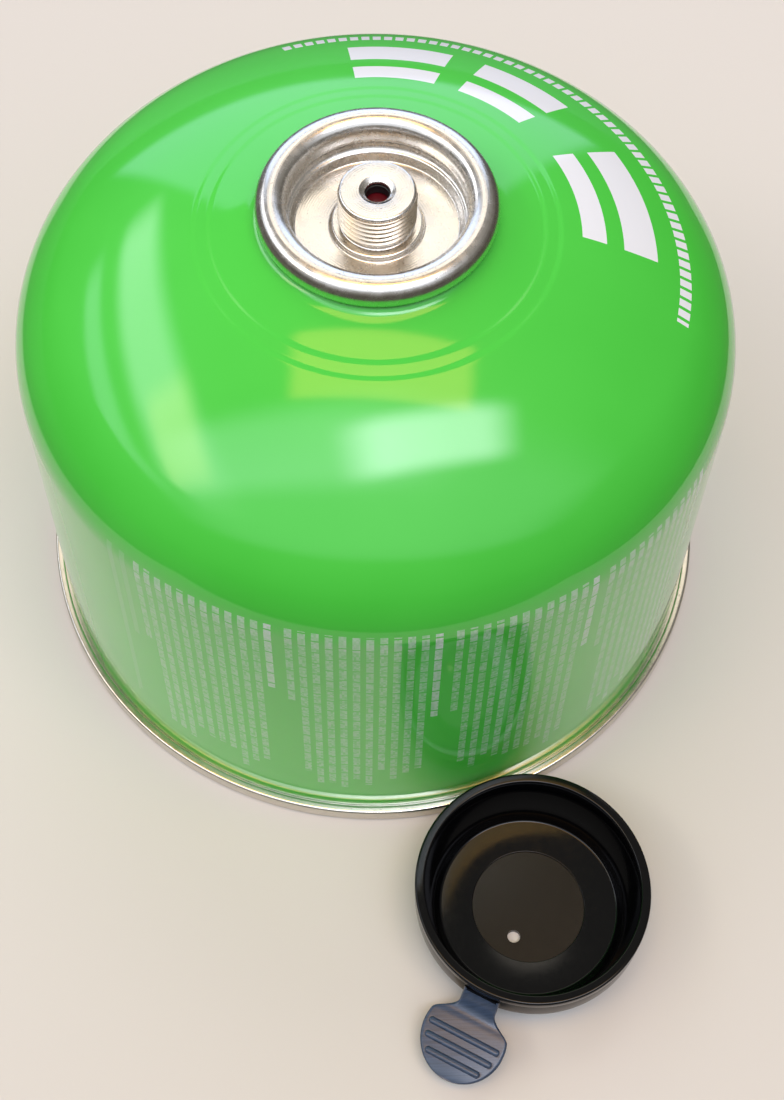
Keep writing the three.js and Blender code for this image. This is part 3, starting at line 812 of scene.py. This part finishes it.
# The tab is all that lies outside the flange. The booleans made new edges, so all are marked again
tab_start = flange + 0.05
cap_crease = 35
pull_tab_cap.data.materials.clear()
pull_tab_cap.data.materials.append(polyethylene)
pull_tab_cap.data.materials.append(scuffed_sheen)
for face in pull_tab_cap.data.polygons:
    out = Vector((face.center.x / MM - cap_x, face.center.y / MM - cap_y)).length
    face.material_index = 1 if out > tab_start else 0
shading = bmesh.new()
shading.from_mesh(pull_tab_cap.data)
for edge in shading.edges:
    edge.smooth = edge.calc_face_angle(0) < radians(cap_crease)
shading.to_mesh(pull_tab_cap.data)
shading.free()
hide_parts("cap")
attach(pull_tab_cap, "canister")


# Floor
# A cream card, which ends a hand's width in front of the canister, on a dark table. The table's dark
# colour is painted shade: it stands for the unlit room that the glossy sides reflect beyond the card.
floors = (("card", 150, 0.0, "#cbc7c0"), ("table", 1500, -0.4, "#3b362f"))
for name, half, level, hue in floors:
    sheet = bmesh.new()
    middle = Matrix.Translation((axis_x, axis_y, level * MM))
    bmesh.ops.create_grid(sheet, x_segments=1, y_segments=1, size=half * MM, matrix=middle)
    floor = finished(name, sheet)
    material, tree = new_material(name)
    matt = {"Base Color": linear(hue), "Roughness": 0.55, "Specular IOR Level": 0.3}
    surface = add(tree, "ShaderNodeBsdfPrincipled", matt)
    add(tree, "ShaderNodeOutputMaterial", {"Surface": surface})
    floor.data.materials.append(material)


# Light
# A room with a cool window behind the canister, a pale ceiling and a warm lamp overhead, white panels
# towards the viewer, and to the left two strips of skylight and a small yellow lamp. All of it is in
# the world.
world = bpy.data.worlds.new("room")
bpy.context.scene.world = world
world.use_nodes = True
tree = world.node_tree
tree.nodes.clear()
direction = add(tree, "ShaderNodeTexCoord").outputs["Generated"]
x, y, z = add(tree, "ShaderNodeSeparateXYZ", {0: direction}).outputs
margin = 0.02
above = add(tree, "ShaderNodeMath", {0: z, 1: margin}, operation="GREATER_THAN")
behind = add(tree, "ShaderNodeMath", {0: y, 1: margin}, operation="GREATER_THAN")
over_z = add(tree, "ShaderNodeMath", {0: x, 1: z}, operation="DIVIDE")
ahead_over_z = add(tree, "ShaderNodeMath", {0: y, 1: z}, operation="DIVIDE")
ceiling = add(tree, "ShaderNodeCombineXYZ", {0: over_z, 1: ahead_over_z})
over_y = add(tree, "ShaderNodeMath", {0: x, 1: y}, operation="DIVIDE")
up_over_y = add(tree, "ShaderNodeMath", {0: z, 1: y}, operation="DIVIDE")
back_wall = add(tree, "ShaderNodeCombineXYZ", {0: over_y, 1: up_over_y})

# Each light: the surface that it is in, its middle, half its width and height, its turn in
# degrees, how soft its edge is, its colour, and its strength. Places are in room heights.
lights = (
    (back_wall, behind, (-0.09, 0.50), (0.64, 0.42), 0, 0.12, "#c9dcff", 1.9),
    (ceiling, above, (0.0, 0.67), (0.32, 0.18), 0, 0.4, "#fff4e4", 1.9),
    (ceiling, above, (0.03, -0.03), (0.36, 0.13), -3, 0.22, "#ffc46a", 4.6),
    (ceiling, above, (0.24, -0.30), (0.32, 0.11), 12, 0.8, "#eef0ff", 9.0),
    (ceiling, above, (-0.45, -0.35), (0.60, 0.16), 2, 0.9, "#e6ecff", 2.2),
    (ceiling, above, (0.0, -0.76), (1.30, 0.46), 0, 0.9, "#e4eeff", 1.0),
    (ceiling, above, (-1.36, 0.75), (0.19, 1.15), 21, 0.9, "#eef2ff", 4.4),
    (ceiling, above, (-1.90, 0.60), (0.13, 1.10), 24, 0.9, "#e0ecff", 2.4),
    (ceiling, above, (-0.98, -0.22), (0.16, 0.26), 10, 0.8, "#ffe08a", 3.0),
)
plain = add(tree, "ShaderNodeValToRGB", {"Fac": z})
for stop, position, hue in zip(plain.color_ramp.elements, (0.0, 0.75), ("#48443d", "#9a9894")):
    stop.position = position
    stop.color = linear(hue)
glow = add(tree, "ShaderNodeBackground", {"Color": plain, "Strength": 1.0})
for surface, side, middle, half, turn, softness, hue, strength in lights:
    placing = {
        "Vector": surface,
        "Location": (middle[0], middle[1], 0),
        "Rotation": (0, 0, radians(turn)),
        "Scale": (half[0], half[1], 1),
    }
    placed = add(tree, "ShaderNodeMapping", placing, vector_type="TEXTURE")
    inside = side
    for part in list(add(tree, "ShaderNodeSeparateXYZ", {0: placed}).outputs)[:2]:
        reach = add(tree, "ShaderNodeMath", {0: part}, operation="ABSOLUTE")
        edges = {"Value": reach, 1: 1 + softness / 2, 2: 1 - softness / 2, 3: 0.0, 4: 1.0}
        edge = add(tree, "ShaderNodeMapRange", edges, interpolation_type="SMOOTHSTEP")
        inside = add(tree, "ShaderNodeMath", {0: inside, 1: edge}, operation="MULTIPLY")
    power = add(tree, "ShaderNodeMath", {0: inside, 1: strength}, operation="MULTIPLY")
    shining = add(tree, "ShaderNodeBackground", {"Color": linear(hue), "Strength": power})
    glow = add(tree, "ShaderNodeAddShader", {0: glow, 1: shining})
add(tree, "ShaderNodeOutputWorld", {"Surface": glow})

bpy.context.scene.view_settings.view_transform = "Standard"
